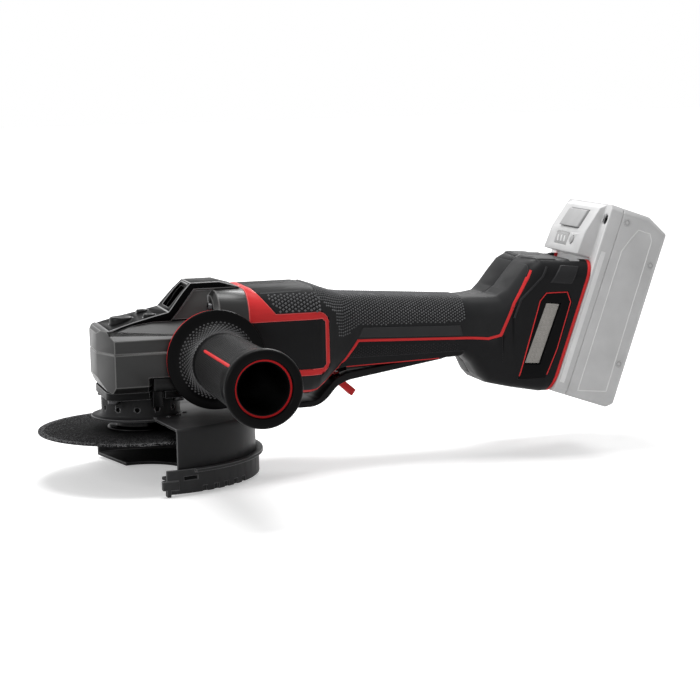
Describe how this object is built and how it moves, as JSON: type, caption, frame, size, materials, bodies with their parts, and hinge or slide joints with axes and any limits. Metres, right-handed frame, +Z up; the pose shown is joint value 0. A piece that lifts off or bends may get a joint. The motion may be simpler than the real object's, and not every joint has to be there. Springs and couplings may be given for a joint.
{
  "type": "cordless angle grinder",
  "caption": "Cordless angle grinder with bevel gear head, cutting wheel, turning guard with clip-on cover, side handle, paddle switch and slide-on battery pack.",
  "frame": {"origin": "centre of the spindle at its lower free end", "axes": "+X from the spindle back along the body to the battery, +Z up the spindle into the gear head, +Y to the right hand of a user who looks along -X"},
  "size_m": [0.3953, 0.2346, 0.1556],
  "materials": {
    "shell_plastic": "fine textured black",
    "soft_grip": "soft black, raised dots",
    "red_plastic": "satin red",
    "panel_plastic": "smooth black",
    "mesh_steel": "woven wire",
    "gear_metal": "dark grey satin coat",
    "hood_plastic": "glossy black",
    "cast_alloy": "as cast",
    "steel": "turned",
    "dark_steel": "blackened",
    "laminations": "stacked sheet",
    "copper": "enamelled copper wire",
    "abrasive": "bonded abrasive, dark speckled grey",
    "guard_steel": "satin black",
    "cover_plastic": "matte black",
    "handle_rubber": "black, raised diamonds",
    "fan_plastic": "moulded",
    "board": "coated board",
    "terminal": "moulded with metal blades",
    "pack_grey": "pale grey, fine texture",
    "pack_dark": "mid grey",
    "lamp": "clear lamp bars",
    "cell_can": "wrapped cell",
    "contact": "sprung contact"
  },
  "bodies": {
    "tool": {"housing_left": "shell_plastic", "housing_right": "shell_plastic", "filter_frame_left": "shell_plastic", "filter_frame_right": "shell_plastic", "grip_overmold_left": "soft_grip", "grip_overmold_right": "soft_grip", "trim_frame_left": "red_plastic", "trim_frame_right": "red_plastic", "grip_stripe_left": "red_plastic", "grip_stripe_right": "red_plastic", "battery_rim": "red_plastic", "handle_core": "red_plastic", "side_panel_left": "panel_plastic", "side_panel_right": "panel_plastic", "filter_mesh_left": "mesh_steel", "filter_mesh_right": "mesh_steel", "gear_housing": "gear_metal", "gear_shroud": "hood_plastic", "bearing_cover": "cast_alloy", "housing_screws": "dark_steel", "gear_head_screws": "dark_steel", "shroud_screws": "dark_steel", "spindle_upper_bearing": "steel", "spindle_lower_bearing": "steel", "front_bearing": "steel", "rear_bearing": "steel", "spindle_lock_spring": "steel", "handle_bolt": "steel", "paddle_pin": "steel", "stator_core": "laminations", "stator_windings": "copper", "switch_module": "fan_plastic", "handle_grip": "handle_rubber", "controller_board": "board", "terminal_block": "terminal"},
    "spindle": {"spindle": "steel", "bevel_gear": "steel", "inner_flange": "steel", "outer_flange_nut": "steel", "cutting_disc": "abrasive"},
    "rotor": {"rotor_shaft": "steel", "rotor_core": "laminations", "cooling_fan": "fan_plastic", "drive_pinion": "steel"},
    "spindle_lock": {"spindle_lock_button": "steel", "spindle_lock_pin": "steel"},
    "guard": {"wheel_guard": "guard_steel", "guard_clip_cover": "cover_plastic"},
    "guard_lever": {"guard_lever": "dark_steel"},
    "paddle": {"paddle_switch": "shell_plastic"},
    "lock_off": {"lock_off_lever": "red_plastic"},
    "switch_plunger": {"switch_plunger": "fan_plastic"},
    "battery": {"battery_case": "pack_grey", "battery_lid": "pack_grey", "battery_cells": "cell_can", "battery_contacts": "contact", "battery_screws": "dark_steel", "charge_indicator": "lamp"},
    "battery_release": {"battery_release_button": "pack_dark"},
    "charge_button": {"charge_button": "pack_dark"}
  },
  "joints": [
    {"name": "spindle_spin", "type": "hinge", "parent": "tool", "child": "spindle", "pos_m": [0, 0, 0.04], "axis": [0, 0, 1], "continuous": true},
    {"name": "rotor_spin", "type": "hinge", "parent": "tool", "child": "rotor", "pos_m": [0.06, 0, 0.06], "axis": [1, 0, 0], "continuous": true},
    {"name": "spindle_lock_press", "type": "slide", "parent": "tool", "child": "spindle_lock", "axis": [0, 0, -1], "range_m": [0, 0.004], "stiffness_N_per_m": 1200, "springref_m": -0.003, "deforming": ["spindle_lock_spring"]},
    {"name": "guard_turn", "type": "hinge", "parent": "tool", "child": "guard", "pos_m": [0, 0, 0.026], "axis": [0, 0, 1], "range_deg": [-120, 120]},
    {"name": "guard_lever_pivot", "type": "hinge", "parent": "tool", "child": "guard_lever", "pos_m": [0.018, -0.029, 0.041], "axis": [0, 0, 1], "range_deg": [0, 8], "stiffness_Nm_per_rad": 0.6, "springref_deg": -17.19},
    {"name": "paddle_pivot", "type": "hinge", "parent": "tool", "child": "paddle", "pos_m": [0.193, 0, 0.0485], "axis": [0, 1, 0], "range_deg": [0, 3], "stiffness_Nm_per_rad": 4, "springref_deg": -5.73},
    {"name": "lock_off_pivot", "type": "hinge", "parent": "paddle", "child": "lock_off", "pos_m": [0.1235, 0, 0.0344], "axis": [0, 1, 0], "range_deg": [0, 40], "stiffness_Nm_per_rad": 0.02, "springref_deg": -17.19},
    {"name": "plunger_slide", "type": "slide", "parent": "tool", "child": "switch_plunger", "axis": [0, 0, 1], "range_m": [0, 0.0023]},
    {"name": "battery_slide", "type": "slide", "parent": "tool", "child": "battery", "axis": [0.3338, 0, 0.9426], "range_m": [0, 0.09]},
    {"name": "battery_release_press", "type": "slide", "parent": "battery", "child": "battery_release", "axis": [0.9426, 0, -0.3338], "range_m": [0, 0.0024], "stiffness_N_per_m": 2500, "springref_m": -0.002},
    {"name": "charge_button_press", "type": "slide", "parent": "battery", "child": "charge_button", "axis": [0.9426, 0, -0.3338], "range_m": [0, 0.0008], "stiffness_N_per_m": 2500, "springref_m": -0.0008}
  ],
  "couplings": [
    {"joint": "rotor_spin", "follows": "spindle_spin", "ratio": 3},
    {"joint": "plunger_slide", "follows": "paddle_pivot", "m_per_rad": 0.041}
  ]
}
